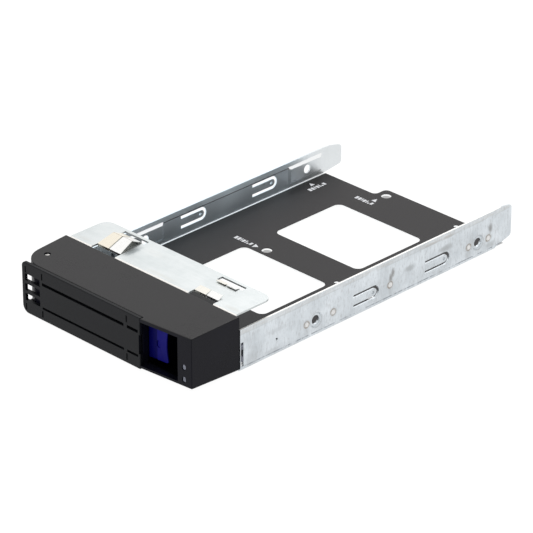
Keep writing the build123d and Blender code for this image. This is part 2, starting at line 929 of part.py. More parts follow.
# Latch button with its bar and hook; its face follows the slant of the bezel
with BuildPart() as release_button:
    shoulder_right = partition_x - button_clearance
    with BuildSketch(Plane.XY.offset(button_bottom)):
        with BuildLine():
            Polyline(
                (shoulder_right, button_face + front_slant(shoulder_right)),
                (button_right, button_face + front_slant(button_right)),
                (button_right, button_face + button_depth),
                (shoulder_right, button_face + button_depth),
                close=True,
            )
        make_face()
    extrude(amount=button_top - button_bottom)
    fillet(release_button.edges().filter_by(Axis.Y).group_by(Axis.X)[-1], button_edge_radius)
    fillet(release_button.edges().filter_by(Axis.Z).group_by(Axis.X)[-1], edge_radius)
    scoop_half = (button_top - button_bottom) / 2
    scoop_radius = (scoop_half**2 + button_scoop**2) / (2 * button_scoop)
    scoop_z = (button_bottom + button_top) / 2
    scoop_x = button_right + scoop_radius - button_scoop
    with Locations(Location((scoop_x, button_face + button_depth / 2, scoop_z), (90, 0, 0))):
        Cylinder(scoop_radius, 2 * button_depth, mode=Mode.SUBTRACT)
    dimple_x = (step_x + button_right) / 2
    with BuildSketch(Plane.XZ.offset(-button_face - front_slant(dimple_x) - dimple_depth)):
        with Locations((dimple_x, scoop_z - dimple_drop)):
            Ellipse(dimple_radius_x, dimple_radius_z)
    extrude(amount=2 * dimple_depth, mode=Mode.SUBTRACT)
    block(
        shoulder_right - shoulder_length,
        shoulder_right,
        button_face - shoulder_step,
        button_face + button_depth + shoulder_step,
        button_bottom,
        button_top + shoulder_step,
    )
    block(
        bar_left,
        shoulder_right,
        button_face,
        button_face + bar_depth,
        button_bottom,
        button_bottom + bar_height,
    )
    hook_tip = catch_x - barb_length - hook_gap
    block(
        hook_tip - hook_length,
        hook_tip,
        button_face,
        button_face + hook_depth,
        button_bottom + bar_height,
        catch_high - hook_low_clearance,
    )
    with Locations(Location((bar_left + guide_bore_depth / 2, guide_y, guide_z), (0, 90, 0))):
        Cylinder(guide_radius + pin_running_gap, guide_bore_depth, mode=Mode.SUBTRACT)

# Guide pin and return spring of the button
guide_length = bar_left + guide_reach - post_left
with BuildPart() as button_guide_pin:
    with Locations(Location((post_left + guide_length / 2, guide_y, guide_z), (0, 90, 0))):
        Cylinder(guide_radius, guide_length)

spring_start = post_left + post_width + button_spring_wire / 2
spring_span = bar_left - button_spring_wire / 2 - spring_start
with BuildPart() as button_spring:
    with BuildLine():
        winding = Helix(
            pitch=spring_span / button_spring_turns,
            height=spring_span,
            radius=button_spring_radius,
            center=(spring_start, guide_y, guide_z),
            direction=(1, 0, 0),
        )
    with BuildSketch(Plane(origin=winding @ 0, z_dir=winding % 0)):
        Circle(button_spring_wire / 2)
    sweep(path=winding)


def light_pipe(z):
    """Clear bar from the column's face to the slot in the rail's front end."""
    face_y = front_y + front_slant(pipe_x) + pipe_sunk
    turn_y = rail_front + end_slot_strip + end_slot_width / 2
    half = pipe_width / 2
    half_branch = (end_slot_width - pipe_clearance) / 2
    with BuildSketch(Plane.XZ.offset(-turn_y - half_branch)) as section:
        with Locations((pipe_x, z)):
            SlotOverall(pipe_height, pipe_width, rotation=90)
    extrude(section.sketch, amount=turn_y + half_branch - face_y)
    block(
        pipe_x - half,
        rail_outer,
        turn_y - half_branch,
        turn_y + half_branch,
        z - pipe_height / 2,
        z + pipe_height / 2,
    )


with BuildPart() as light_pipe_lower:
    light_pipe(pipe_heights[0])

with BuildPart() as light_pipe_upper:
    light_pipe(pipe_heights[1])

# Shield plate with its flange against the bezel
with BuildPart() as shield_plate:
    block(-plate_half, plate_half, bezel_back, plate_back, plate_under, plate_top)
    fillet(shield_plate.edges().filter_by(Axis.Z).group_by(Axis.Y)[-1], plate_corner_radius)
    block(-plate_half, plate_half, bezel_back, bezel_back + plate_thickness, flange_bottom, plate_under)
    front_top = shield_plate.edges().filter_by(Axis.X).group_by(Axis.Z)[-1].sort_by(Axis.Y)[0]
    fillet(front_top, plate_bend_radius)
    for side in (-1, 1):
        middle = side * clip_offset
        half = clip_width / 2 + clip_margin
        block(
            middle - half,
            middle + half,
            bezel_back - over,
            bezel_back + notch_depth,
            flange_bottom - over,
            plate_top + over,
            mode=Mode.SUBTRACT,
        )
        block(
            middle - half,
            middle + half,
            clip_slot_rear - clip_slot_width,
            clip_slot_rear,
            plate_under - over,
            plate_top + over,
            mode=Mode.SUBTRACT,
        )
    with BuildSketch(Plane.XZ.offset(-bezel_back - plate_thickness)):
        for x in (-shield_screw_x, 0, shield_screw_x):
            with Locations((x, shield_screw_z)):
                Circle(screw_radius + screw_clearance)
    extrude(amount=plate_thickness, mode=Mode.SUBTRACT)


def spring_clip(middle, way):
    """Tent-shaped contact spring, hooked in a notch and a slot of the plate.

    way is 1 for a spring that stands above the plate and -1 for one below it.
    """
    half_plate = plate_thickness / 2
    skin = half_plate + clip_gap + clip_thickness / 2
    edge_y = bezel_back + notch_depth
    front = edge_y - clip_gap - clip_thickness / 2
    rear = clip_slot_rear - clip_slot_width + clip_gap + clip_thickness / 2
    points = [
        (edge_y + clip_hook, -skin - clip_hook_lift),
        (front, -skin),
        (front, skin),
        (clip_crest_y, half_plate + clip_rise),
        (rear, skin + clip_thickness),
        (rear, -skin),
        (rear - clip_tail, -skin - clip_tail_lift),
    ]
    turned = [(y, plate_middle + way * z) for y, z in points]
    with BuildSketch(Plane.YZ.offset(middle - clip_width / 2)) as strip:
        with BuildLine():
            FilletPolyline(*turned, radius=(clip_bend, clip_bend, clip_crest_bend, clip_bend, clip_bend))
        trace(line_width=clip_thickness)
    extrude(strip.sketch, amount=clip_width)

    # The strip narrows towards its crest, and a slit parts it into two fingers
    hook_side = plate_middle - way * (skin + clip_hook_lift + over)
    crest_side = plate_middle + way * (half_plate + clip_rise + over)
    low, high = sorted((hook_side, crest_side))
    wide = clip_width / 2
    narrow = wide - clip_taper
    with BuildSketch(Plane.XY.offset(low)) as plan:
        with BuildLine() as outline:
            Polyline(
                (middle - wide, front - over),
                (middle + wide, front - over),
                (middle + wide, edge_y),
                (middle + narrow, clip_crest_y),
                (middle + narrow, clip_slot_rear + over),
                (middle - narrow, clip_slot_rear + over),
                (middle - narrow, clip_crest_y),
                (middle - wide, edge_y),
                close=True,
            )
        make_face(outline.edges())
    extrude(plan.sketch, amount=high - low, mode=Mode.INTERSECT)
    block(
        middle - clip_slit / 2,
        middle + clip_slit / 2,
        front - over,
        clip_crest_y + clip_slit_past,
        low,
        high,
        mode=Mode.SUBTRACT,
    )


with BuildPart() as spring_clip_left:
    spring_clip(-clip_offset, 1)

with BuildPart() as spring_clip_right:
    spring_clip(clip_offset, -1)

# Screws through the shield's flange and the back panel
with BuildPart() as shield_screws:
    head_seat = bezel_back + plate_thickness
    for x in (-shield_screw_x, 0, shield_screw_x):
        with Locations(Location((x, head_seat - shield_screw_length / 2, shield_screw_z), (90, 0, 0))):
            Cylinder(screw_radius, shield_screw_length)
        with Locations(Location((x, head_seat + screw_head_height / 2, shield_screw_z), (90, 0, 0))):
            Cylinder(screw_head_radius, screw_head_height)
        with Locations(Location((x, head_seat + screw_head_height, shield_screw_z), (90, 0, 0))):
            Cylinder(drive_recess_radius, screw_head_height, mode=Mode.SUBTRACT)

# Screws from below into the tray's tongue
with BuildPart() as bezel_screws:
    screw_y = bezel_back - bezel_screw_inset
    head_low = bezel_underside(screw_y) + screw_head_sunk
    head_top = head_low + screw_head_height
    screw_tip = floor_top + sheet + screw_past
    for x in (-bezel_screw_x, bezel_screw_x):
        with Locations((x, screw_y, (head_low + screw_tip) / 2)):
            Cylinder(screw_radius, screw_tip - head_low)
        with Locations((x, screw_y, (head_low + head_top) / 2)):
            Cylinder(screw_head_radius, screw_head_height)
        with Locations((x, screw_y, head_low)):
            Cylinder(drive_recess_radius, screw_head_height, mode=Mode.SUBTRACT)

pieces = {
    "tray_pan": tray_pan,
    "insulating_film": insulating_film,
    "bezel_body": bezel_body,
    "bezel_back_panel": bezel_back_panel,
    "lever": lever,
    "lever_pivot_pin": lever_pivot_pin,
    "lever_spring": lever_spring,
    "release_button": release_button,
    "button_guide_pin": button_guide_pin,
    "button_spring": button_spring,
    "light_pipe_lower": light_pipe_lower,
    "light_pipe_upper": light_pipe_upper,
    "shield_plate": shield_plate,
    "spring_clip_left": spring_clip_left,
    "spring_clip_right": spring_clip_right,
    "shield_screws": shield_screws,
    "bezel_screws": bezel_screws,
}
for label, piece in pieces.items():
    piece.part.label = label
    export_step(piece.part, f"parts/{label}.step")
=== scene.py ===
import math

import bmesh
import bpy
from mathutils import Matrix, Vector


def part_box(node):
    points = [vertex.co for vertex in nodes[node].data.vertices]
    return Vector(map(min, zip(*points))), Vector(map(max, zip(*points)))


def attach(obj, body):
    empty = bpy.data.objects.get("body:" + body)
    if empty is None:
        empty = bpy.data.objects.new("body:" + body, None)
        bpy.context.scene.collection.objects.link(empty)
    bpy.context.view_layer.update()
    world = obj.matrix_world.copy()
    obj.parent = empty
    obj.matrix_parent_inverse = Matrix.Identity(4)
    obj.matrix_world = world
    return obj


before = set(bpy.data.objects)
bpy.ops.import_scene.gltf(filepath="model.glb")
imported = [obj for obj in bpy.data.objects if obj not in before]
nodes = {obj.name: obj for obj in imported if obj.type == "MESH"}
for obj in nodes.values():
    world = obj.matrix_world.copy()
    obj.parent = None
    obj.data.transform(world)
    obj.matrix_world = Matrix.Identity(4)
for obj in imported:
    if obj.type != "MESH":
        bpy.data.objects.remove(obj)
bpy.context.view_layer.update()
scene = bpy.context.scene
MM = 0.001

# Outer side of the rails along X and top of the right rail, in millimetres like all places here
RAIL = 53.4
RAIL_TOP = 19.6

# Side holes and studs: places along Y and their height
HOLES = (-24.6, 77.0)
STUDS = (-30.4, -14.4, 20.7, 70.7, 83.5)
HOLE_HEIGHT = 7.35

# Raised pads on the left rail: middle and half length along Y, and their top
PADS = ((-28.4, 15.6), (76.2, 10.8))
PAD_TOP = 11.65

# Bezel and button: back and top of the bezel, the edge of the painted shadow on the button along X
# and its front along Y
BEZEL_BACK = -69.5
BEZEL_TOP = 25.6
BUTTON_SHADOW_EDGE = 29.5
BUTTON_FACE = -93.2

# Finger recess in the bezel: middle and half size along X, then along Z, and its mouth along Y
RECESS = ((35.35, 10.2), (13.8, 10.3))
RECESS_MOUTH = -95.2

# Large windows in the base: middle and half length along Y, and their half width
WINDOWS = ((-9.2, 20.2), (50.45, 20.75))
WINDOW_HALF = 25.9

# Colours that several materials share
RUST = (0.30, 0.25, 0.20)
GRIME = (0.40, 0.42, 0.43)
SMEAR = (0.20, 0.19, 0.18)
# The next two are the white and cream of painted highlights
HIGHLIGHT_WHITE = (0.96, 0.97, 0.97)
HIGHLIGHT_CREAM = (0.88, 0.86, 0.82)

# How far a scuff reaches into the sheet that it lies on, in millimetres
PATCH_DEPTH = 1.5


# Camera at the photograph's angle

def make_camera():
    azimuth = math.radians(45.068)
    elevation = math.radians(27.361)
    focal_pixels = 3524.435
    picture_pixels = 533
    eye = (0.9631, -0.9617, 0.7085)
    right = Vector((math.cos(azimuth), math.sin(azimuth), 0))
    back = Vector((
        math.sin(azimuth) * math.cos(elevation),
        -math.cos(azimuth) * math.cos(elevation),
        math.sin(elevation),
    ))
    up = back.cross(right)
    data = bpy.data.cameras.new("camera")
    data.sensor_width = 36.0
    data.lens = focal_pixels / picture_pixels * data.sensor_width
    data.clip_end = 50.0
    camera = bpy.data.objects.new("camera", data)
    turn = Matrix((right, up, back)).transposed()
    camera.matrix_world = Matrix.Translation(eye) @ turn.to_4x4()
    scene.collection.objects.link(camera)
    scene.camera = camera


# Node graphs for the materials

class Graph:
    """A material's node tree with short calls for the nodes that the materials share."""

    def __init__(self, name):
        self.material = bpy.data.materials.new(name)
        self.material.use_nodes = True
        self.tree = self.material.node_tree
        self.tree.nodes.clear()
        self.output = self.add("ShaderNodeOutputMaterial")
        self.place = self.add("ShaderNodeTexCoord").outputs["Object"]

    def add(self, kind, **settings):
        node = self.tree.nodes.new(kind)
        for key, value in settings.items():
            setattr(node, key, value)
        return node

    def feed(self, socket, value):
        if isinstance(value, bpy.types.NodeSocket):
            self.tree.links.new(value, socket)
        else:
            socket.default_value = value

    def math(self, operation, a, b=0.0):
        node = self.add("ShaderNodeMath", operation=operation)
        self.feed(node.inputs[0], a)
        self.feed(node.inputs[1], b)
        return node.outputs[0]

    def times(self, *factors):
        """Product of several masks."""
        product = factors[0]
        for factor in factors[1:]:
            product = self.math("MULTIPLY", product, factor)
        return product

    def axes(self, names="XYZ"):
        """The object's own axes, in millimetres."""
        split = self.add("ShaderNodeSeparateXYZ")
        self.feed(split.inputs[0], self.place)
        return [self.math("DIVIDE", split.outputs[name], MM) for name in names]

    def stretched(self, x, y, z, shift=0.0):
        """The object's coordinates, scaled along each axis, for a noise."""
        mapping = self.add("ShaderNodeMapping")
        self.feed(mapping.inputs["Vector"], self.place)
        mapping.inputs["Scale"].default_value = (x, y, z)
        mapping.inputs["Location"].default_value = (shift, shift, shift)
        return mapping.outputs[0]

    def even(self, scale, shift=0.0):
        return self.stretched(scale, scale, scale, shift)

    def noise(self, vector, detail=4.0, roughness=0.55):
        node = self.add("ShaderNodeTexNoise")
        self.feed(node.inputs["Vector"], vector)
        node.inputs["Scale"].default_value = 1.0
        node.inputs["Detail"].default_value = detail
        node.inputs["Roughness"].default_value = roughness
        return node.outputs["Fac"]

    def span(self, value, low, high, to_low=0.0, to_high=1.0, smooth=False):
        """Maps one range of a value to another, held at both ends."""
        node = self.add("ShaderNodeMapRange")
        if smooth:
            node.interpolation_type = "SMOOTHSTEP"
        for key, number in (
            ("Value", value),
            ("From Min", low),
            ("From Max", high),
            ("To Min", to_low),
            ("To Max", to_high),
        ):
            self.feed(node.inputs[key], number)
        return node.outputs[0]

    def band(self, value, middle, half, soft):
        """Mask that is 1 within half of the middle and fades out over soft."""
        away = self.math("ABSOLUTE", self.math("SUBTRACT", value, middle))
        return self.span(away, half, half + soft, 1.0, 0.0, smooth=True)

    def away(self, a, b, a0, b0):
        """Distance from a line along the third axis, in millimetres."""
        across = self.math("POWER", self.math("SUBTRACT", a, a0), 2.0)
        upward = self.math("POWER", self.math("SUBTRACT", b, b0), 2.0)
        return self.math("SQRT", self.math("ADD", across, upward))

    def mix(self, factor, first, second):
        node = self.add("ShaderNodeMix", data_type="RGBA")
        self.feed(node.inputs["Factor"], factor)
        for socket, value in ((node.inputs[6], first), (node.inputs[7], second)):
            if isinstance(value, tuple):
                value = (*value, 1.0)
            self.feed(socket, value)
        return node.outputs[2]

    def stain(self, colour, mask, strength, tint):
        """Lays a tint over a colour where the mask is, at the given strength."""
        return self.mix(self.math("MULTIPLY", mask, strength), colour, tint)

    def bump(self, height, strength, distance, below=None):
        node = self.add("ShaderNodeBump")
        self.feed(node.inputs["Height"], height)
        node.inputs["Strength"].default_value = strength
        node.inputs["Distance"].default_value = distance
        if below is not None:
            self.feed(node.inputs["Normal"], below)
        return node.outputs[0]

    def surface(self, colour, roughness, normal, **constants):
        shader = self.add("ShaderNodeBsdfPrincipled")
        self.feed(shader.inputs["Base Color"], colour)
        self.feed(shader.inputs["Roughness"], roughness)
        self.feed(shader.inputs["Normal"], normal)
        for key, value in constants.items():
            shader.inputs[key.replace("_", " ")].default_value = value
        self.tree.links.new(shader.outputs[0], self.output.inputs["Surface"])
        return self.material

    def blob(self, centre, radii, seed=0.0, ragged=0.35):
        """Soft ragged patch round a point, 1 in its middle and 0 outside, in millimetres."""
        offset = self.add("ShaderNodeVectorMath", operation="SUBTRACT")
        self.feed(offset.inputs[0], self.place)
        offset.inputs[1].default_value = [c * MM for c in centre]
        scaled = self.add("ShaderNodeVectorMath", operation="DIVIDE")
        self.feed(scaled.inputs[0], offset.outputs[0])
        scaled.inputs[1].default_value = [r * MM for r in radii]
        length = self.add("ShaderNodeVectorMath", operation="LENGTH")
        self.feed(length.inputs[0], scaled.outputs[0])
        rag = self.math("SUBTRACT", self.noise(self.even(700, seed), 3.0), 0.5)
        far = self.math("ADD", length.outputs["Value"], self.math("MULTIPLY", rag, 2 * ragged))
        return self.span(far, 1.15, 0.25, smooth=True)


def zinc(name, bright, dull, streak, roughness, streak_share=0.25):
    """Zinc coated sheet: cloudy spangle, fine rolling streaks and dark specks."""
    g = Graph(name)
    cloud = g.noise(g.even(90), 5.0, 0.6)
    grain = g.noise(g.stretched(*streak), 3.0, 0.6)
    speck = g.noise(g.even(1500), 2.0, 0.7)
    tone = g.math(
        "ADD",
        g.math("MULTIPLY", cloud, 1.0 - streak_share),
        g.math("MULTIPLY", grain, streak_share),
    )
    colour = g.mix(g.span(tone, 0.34, 0.64), dull, bright)
    colour = g.stain(colour, g.span(speck, 0.68, 0.76), 0.15, (0.3, 0.31, 0.32))
    rough = g.span(tone, 0.3, 0.7, roughness + 0.08, roughness - 0.04)
    relief = g.bump(grain, 0.05, 0.03 * MM, g.bump(cloud, 0.08, 0.2 * MM))
    return g, colour, rough, relief


def black_plastic(name, colour, specular, roughness, top=None):
    """Moulded black plastic, cloudy and rubbed; a top tone paints the top faces lighter as painted
    light, and painted shade makes the finger recess black.
    """
    g = Graph(name)
    spark = g.noise(g.even(2600), 3.0, 0.6)
    cloud = g.noise(g.even(55, 4.0), 4.0)
    rub = g.noise(g.stretched(160, 40, 160, 9.0), 5.0, 0.65)
    shade = tuple(c * 0.75 for c in colour)
    worn = tuple(c * 2.6 for c in colour)
    tint = g.mix(g.span(cloud, 0.3, 0.7), shade, colour)
    tint = g.stain(tint, g.span(rub, 0.62, 0.8), 0.3, worn)
    if top is not None:
        x, y, z = g.axes()
        # Painted light: the top faces are made lighter with the top tone
        sky = g.span(z, BEZEL_TOP - 0.25, BEZEL_TOP - 0.1)
        painted_lit_top = g.mix(g.span(cloud, 0.3, 0.7), tuple(c * 0.94 for c in top), top)
        tint = g.mix(sky, tint, painted_lit_top)
        # Painted shade: the inside of the finger recess is made black
        painted_recess_shade = g.times(
            g.band(x, *RECESS[0], 0.1),
            g.band(z, *RECESS[1], 0.1),
            g.span(y, RECESS_MOUTH, RECESS_MOUTH + 0.4),
        )
        tint = g.mix(painted_recess_shade, tint, (0.0006, 0.0006, 0.0008))
    grit = g.math("ADD", g.math("MULTIPLY", spark, 0.5), g.math("MULTIPLY", cloud, 0.5))
    rough = g.span(grit, 0.35, 0.65, roughness - 0.06, roughness + 0.08)
    relief = g.bump(spark, 0.3, 0.03 * MM, g.bump(cloud, 0.05, 0.2 * MM))
    return g.surface(tint, rough, relief, Specular_IOR_Level=specular)


def dress(name, material):
    """Gives a CAD node its finished material on every slot."""
    mesh = nodes[name].data
    if not mesh.materials:
        mesh.materials.append(material)
    for index in range(len(mesh.materials)):
        mesh.materials[index] = material


# Metal pieces

def right_rail_marks(g, colour, x, y, z):
    """Scuffs, stud rings and edge lines on the right rail's outer side, with painted shade at the
    dish rims and along the bottom bend and a painted highlight on the top edge.
    """
    outer = g.span(x, RAIL - 0.75, RAIL - 0.65)

    # Scuffs: place along Y and Z, half length and half height, tint, strength
    scuffs = [
        ((20.9, 10.4), (1.4, 2.4), SMEAR, 0.75),
        ((22.3, 12.8), (1.3, 2.6), SMEAR, 0.75),
        ((20.9, 4.1), (1.5, 3.0), GRIME, 0.4),
        ((33.0, 11.0), (4.2, 1.9), GRIME, 0.75),
        ((55.9, 12.4), (5.5, 2.0), GRIME, 0.8),
        ((53.9, 10.5), (1.5, 0.9), GRIME, 0.5),
        ((84.8, 11.7), (1.5, 2.8), SMEAR, 0.7),
        ((85.0, 3.7), (4.0, 2.0), GRIME, 0.6),
        ((72.4, 10.1), (2.0, 2.6), GRIME, 0.4),
        ((70.4, 3.7), (3.0, 2.6), GRIME, 0.4),
        ((-30.4, 3.7), (2.0, 2.6), GRIME, 0.4),
        ((-47.6, 11.7), (9.0, 1.4), GRIME, 0.3),
        ((-62.6, 3.1), (4.5, 5.0), GRIME, 0.4),
        ((-50.6, 2.7), (6.0, 1.6), GRIME, 0.4),
        ((46.4, 17.6), (7.0, 0.8), RUST, 0.4),
        ((57.4, 17.4), (5.0, 1.0), RUST, 0.4),
    ]
    for number, ((at_y, at_z), (long, high), tint, strength) in enumerate(scuffs):
        patch = g.blob((RAIL, at_y, at_z), (PATCH_DEPTH, long, high), seed=number * 3.7)
        colour = g.stain(colour, patch, strength, tint)

    # Pressed studs, each a pale core in a rusty ring, and painted shade along the rims of the
    # dished holes
    uneven = g.span(g.noise(g.even(520, 3.0), 3.0), 0.35, 0.6, 0.45, 1.0)
    stud_core, stud_ring, dish_rim = 1.0, 1.5, 3.5
    for stud_y in STUDS:
        far = g.away(y, z, stud_y, HOLE_HEIGHT)
        halo = g.times(outer, g.band(far, 1.0, 1.0, 0.9))
        colour = g.stain(colour, halo, 0.25, GRIME)
        ring = g.times(outer, uneven, g.band(far, stud_ring, 0.16, 0.3))
        colour = g.stain(colour, ring, 0.9, RUST)
        core = g.times(outer, g.band(far, 0.0, stud_core, 0.3))
        colour = g.mix(core, colour, (0.76, 0.755, 0.745))
    for hole_y in HOLES:
        far = g.away(y, z, hole_y, HOLE_HEIGHT)
        painted_rim_shade = g.times(outer, uneven, g.band(far, dish_rim, 0.12, 0.3))
        colour = g.stain(colour, painted_rim_shade, 0.6, GRIME)

    # Fine grey mottle over the whole side
    mottle = g.noise(g.stretched(1100, 1100, 420, 8.0), 4.0, 0.7)
    mottled = g.times(outer, g.span(mottle, 0.5, 0.68))
    colour = g.stain(colour, mottled, 0.6, (0.46, 0.47, 0.48))

    # Rubbed band and faint line under the top edge, and a painted highlight in cream on the top
    # edge itself
    worn = g.noise(g.stretched(900, 130, 900, 2.0), 4.0, 0.6)
    below_edge = g.times(outer, g.band(z, RAIL_TOP - 1.4, 0.7, 0.5), g.span(worn, 0.35, 0.6))
    colour = g.stain(colour, below_edge, 0.4, (0.52, 0.50, 0.46))
    faint = g.times(outer, g.band(z, RAIL_TOP - 2.4, 0.1, 0.35), g.span(worn, 0.4, 0.5))
    colour = g.stain(colour, faint, 0.25, GRIME)
    painted_edge_highlight = g.times(outer, g.span(z, RAIL_TOP - 0.08, RAIL_TOP - 0.03))
    colour = g.mix(painted_edge_highlight, colour, HIGHLIGHT_CREAM)

    # Painted shade: a dark broken line along the bottom bend
    bend_shade_height = 1.9
    broken = g.span(g.noise(g.stretched(200, 260, 200, 6.0), 4.0, 0.7), 0.42, 0.56)
    painted_bend_shade = g.times(outer, g.band(z, bend_shade_height, 0.12, 0.3), broken)
    return g.stain(colour, painted_bend_shade, 0.75, (0.22, 0.24, 0.27))


def left_rail_marks(g, colour, x, y, z):
    """Painted reflection tint, painted highlights on the pad bevels and the foot, and lines on the
    left rail's inner side.
    """
    inner = g.times(g.span(x, 2.4 - RAIL, 2.0 - RAIL), g.span(x, 0.05 - RAIL, 0.15 - RAIL))

    # Painted reflection: a cool tint along most of the rail, plainer and duller towards its rear
    # end
    painted_cool_tint = g.times(inner, g.span(y, 62.0, 84.0, 0.92, 0.0))
    colour = g.mix(painted_cool_tint, colour, (0.83, 0.935, 1.0))
    dull = g.times(inner, g.span(y, 66.0, 86.0, 0.0, 0.9))
    colour = g.mix(dull, colour, (0.735, 0.762, 0.772))

    # Painted highlights on the bevels of the pads and on the foot beside the film
    for middle, half in PADS:
        bevel_highlight = g.times(inner, g.band(y, middle, half, 0.4), g.band(z, PAD_TOP - 0.5, 0.55, 0.25))
        colour = g.stain(colour, bevel_highlight, 0.85, HIGHLIGHT_WHITE)
    foot_height = 1.15
    foot = g.times(inner, g.band(z, foot_height, 0.3, 0.3))
    colour = g.stain(colour, foot, 0.45, HIGHLIGHT_WHITE)

    # Thin dark coined line between the pads, and a stain on the rear pad
    line_height = 11.1
    line = g.times(inner, g.band(y, 26.3, 39.3, 0.3), g.band(z, line_height, 0.14, 0.16))
    colour = g.stain(colour, line, 0.9, (0.05, 0.05, 0.06))
    spot = g.blob((-52.6, 78.0, 5.1), (2.0, 4.0, 3.0), 8.0)
    return g.stain(colour, spot, 0.3, GRIME)


def dress_tray():
    g, colour, rough, relief = zinc(
        "galvanised_sheet", (0.72, 0.765, 0.80), (0.57, 0.61, 0.64), (30.0, 900.0, 60.0), 0.36
    )
    x, y, z = g.axes()
    # Painted highlight: the sheet's cut edges in the base are made white
    painted_cut_edge_glint = g.times(g.band(x, 0.0, 51.0, 0.5), g.span(z, 0.01, 0.04), g.span(z, 0.95, 0.9))
    colour = g.mix(painted_cut_edge_glint, colour, HIGHLIGHT_WHITE)
    colour = right_rail_marks(g, colour, x, y, z)
    colour = left_rail_marks(g, colour, x, y, z)
    dress("tray_pan", g.surface(colour, rough, relief, Metallic=1.0))


def dress_plate():
    g, colour, rough, relief = zinc(
        "zinc_plate", (0.645, 0.67, 0.672), (0.535, 0.565, 0.568), (60.0, 500.0, 60.0), 0.4
    )

    # Rubbed places on the plate's top: place and half size along X and Y, tint, strength
    rubs = [
        ((46.0, -66.4), (6.0, 1.6), (0.5, 0.49, 0.46), 0.35),
        ((-44.0, -66.4), (6.0, 1.4), (0.5, 0.49, 0.46), 0.25),
        ((4.0, -66.7), (12.0, 1.2), (0.56, 0.55, 0.5), 0.3),
        ((-12.0, -54.9), (7.0, 3.0), (0.62, 0.62, 0.6), 0.2),
    ]
    for number, ((at_x, at_y), (wide, deep), tint, strength) in enumerate(rubs):
        patch = g.blob((at_x, at_y, BEZEL_TOP), (wide, deep, PATCH_DEPTH), seed=number * 5.1)
        colour = g.stain(colour, patch, strength, tint)

    # Painted shadow of the left clip's right finger as a dark patch beside it, and a painted
    # highlight on the bend along the bezel
    # Painted shadow: dark patch cast by the left clip's right finger
    patch = g.blob((-21.2, -60.5, BEZEL_TOP), (2.6, 6.5, PATCH_DEPTH), 6.0)
    colour = g.stain(colour, patch, 0.7, (0.22, 0.25, 0.26))
    y, z = g.axes("YZ")
    front_bend = g.band(y, BEZEL_BACK + 0.3, 0.3, 0.25)
    painted_bend_highlight = g.times(front_bend, g.span(z, BEZEL_TOP - 0.6, BEZEL_TOP - 0.3))
    colour = g.stain(colour, painted_bend_highlight, 0.85, (0.95, 0.92, 0.88))
    dress("shield_plate", g.surface(colour, rough, relief, Metallic=1.0))


def dress_clip(name, warm):
    """Bright rolled strip, warmer on its left finger, with a brown line along the crest."""
    g = Graph(name + "_strip")
    x, y = g.axes("XY")
    low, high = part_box(name)
    middle = (low.x + high.x) / 2 / MM
    crest_y = BEZEL_BACK + 11.9
    line = g.noise(g.stretched(1800, 60, 60), 3.0, 0.6)
    cloud = g.noise(g.even(200), 4.0, 0.6)
    pale = g.mix(g.span(cloud, 0.35, 0.65), (0.93, 0.92, 0.90), (0.98, 0.98, 0.97))
    colour = g.mix(g.span(x, middle - 0.4, middle + 0.4), warm, pale)
    colour = g.stain(colour, g.band(y, crest_y, 0.15, 0.35), 0.5, (0.35, 0.27, 0.2))
    rough = g.span(line, 0.3, 0.7, 0.22, 0.34)
    relief = g.bump(line, 0.1, 0.02 * MM)
    dress(name, g.surface(colour, rough, relief, Metallic=1.0))


def bare_metal(name, scale, dark, light, roughness):
    """Plain drawn or turned steel, unevenly bright."""
    g = Graph(name)
    line = g.noise(g.even(scale), 4.0, 0.7)
    colour = g.mix(g.span(line, 0.35, 0.65), dark, light)
    rough = g.span(line, 0.3, 0.7, roughness - 0.08, roughness + 0.1)
    return g.surface(colour, rough, g.bump(line, 0.15, 0.02 * MM), Metallic=1.0)


def dress_small_metal():
    wire = bare_metal("drawn_wire", 900, (0.45, 0.45, 0.46), (0.68, 0.68, 0.68), 0.32)
    for name in ("lever_spring", "button_spring"):
        dress(name, wire)
    screw = bare_metal("zinc_screw", 500, (0.55, 0.54, 0.52), (0.80, 0.78, 0.75), 0.36)
    for name in ("shield_screws", "bezel_screws", "lever_pivot_pin", "button_guide_pin"):
        dress(name, screw)


# Plastic pieces

def dress_black_plastic():
    bezel_colour = (0.0052, 0.0052, 0.0105)
    # Lighter colour for the bezel's top faces, as painted light
    painted_top_light_colour = (0.0378, 0.0366, 0.0378)
    bezel = black_plastic("bezel_black", bezel_colour, 0.12, 0.30, painted_top_light_colour)
    dress("bezel_body", bezel)
    dress("bezel_back_panel", black_plastic("panel_black", (0.011, 0.011, 0.012), 0.12, 0.58))
    dress("lever", black_plastic("lever_black", (0.0082, 0.0088, 0.0110), 0.14, 0.36))


def dress_button():
    """Blue button: painted shadow as a dark strip on the left, lighter grip on the right, and
    painted shade making the sides black.
    """
    g = Graph("button_blue")
    x, y = g.axes("XY")
    spark = g.noise(g.even(2200), 3.0, 0.6)
    cloud = g.noise(g.even(120), 4.0)
    # Painted shadow: darker blue for the strip on the left
    strip = g.mix(g.span(cloud, 0.3, 0.7), (0.0, 0.0, 0.075), (0.0, 0.0, 0.10))
    grip = g.mix(g.span(cloud, 0.3, 0.7), (0.006, 0.005, 0.16), (0.010, 0.009, 0.21))
    colour = g.mix(g.span(x, BUTTON_SHADOW_EDGE - 0.15, BUTTON_SHADOW_EDGE + 0.15), strip, grip)
    # Painted shade: the sides behind the front face are made black
    sides = g.span(y, BUTTON_FACE + 0.3, BUTTON_FACE + 0.5)
    colour = g.mix(sides, colour, (0.0, 0.0, 0.003))
    rough = g.span(spark, 0.35, 0.65, 0.36, 0.5)
    relief = g.bump(spark, 0.25, 0.02 * MM)
    dress("release_button", g.surface(colour, rough, relief, Specular_IOR_Level=0.10))


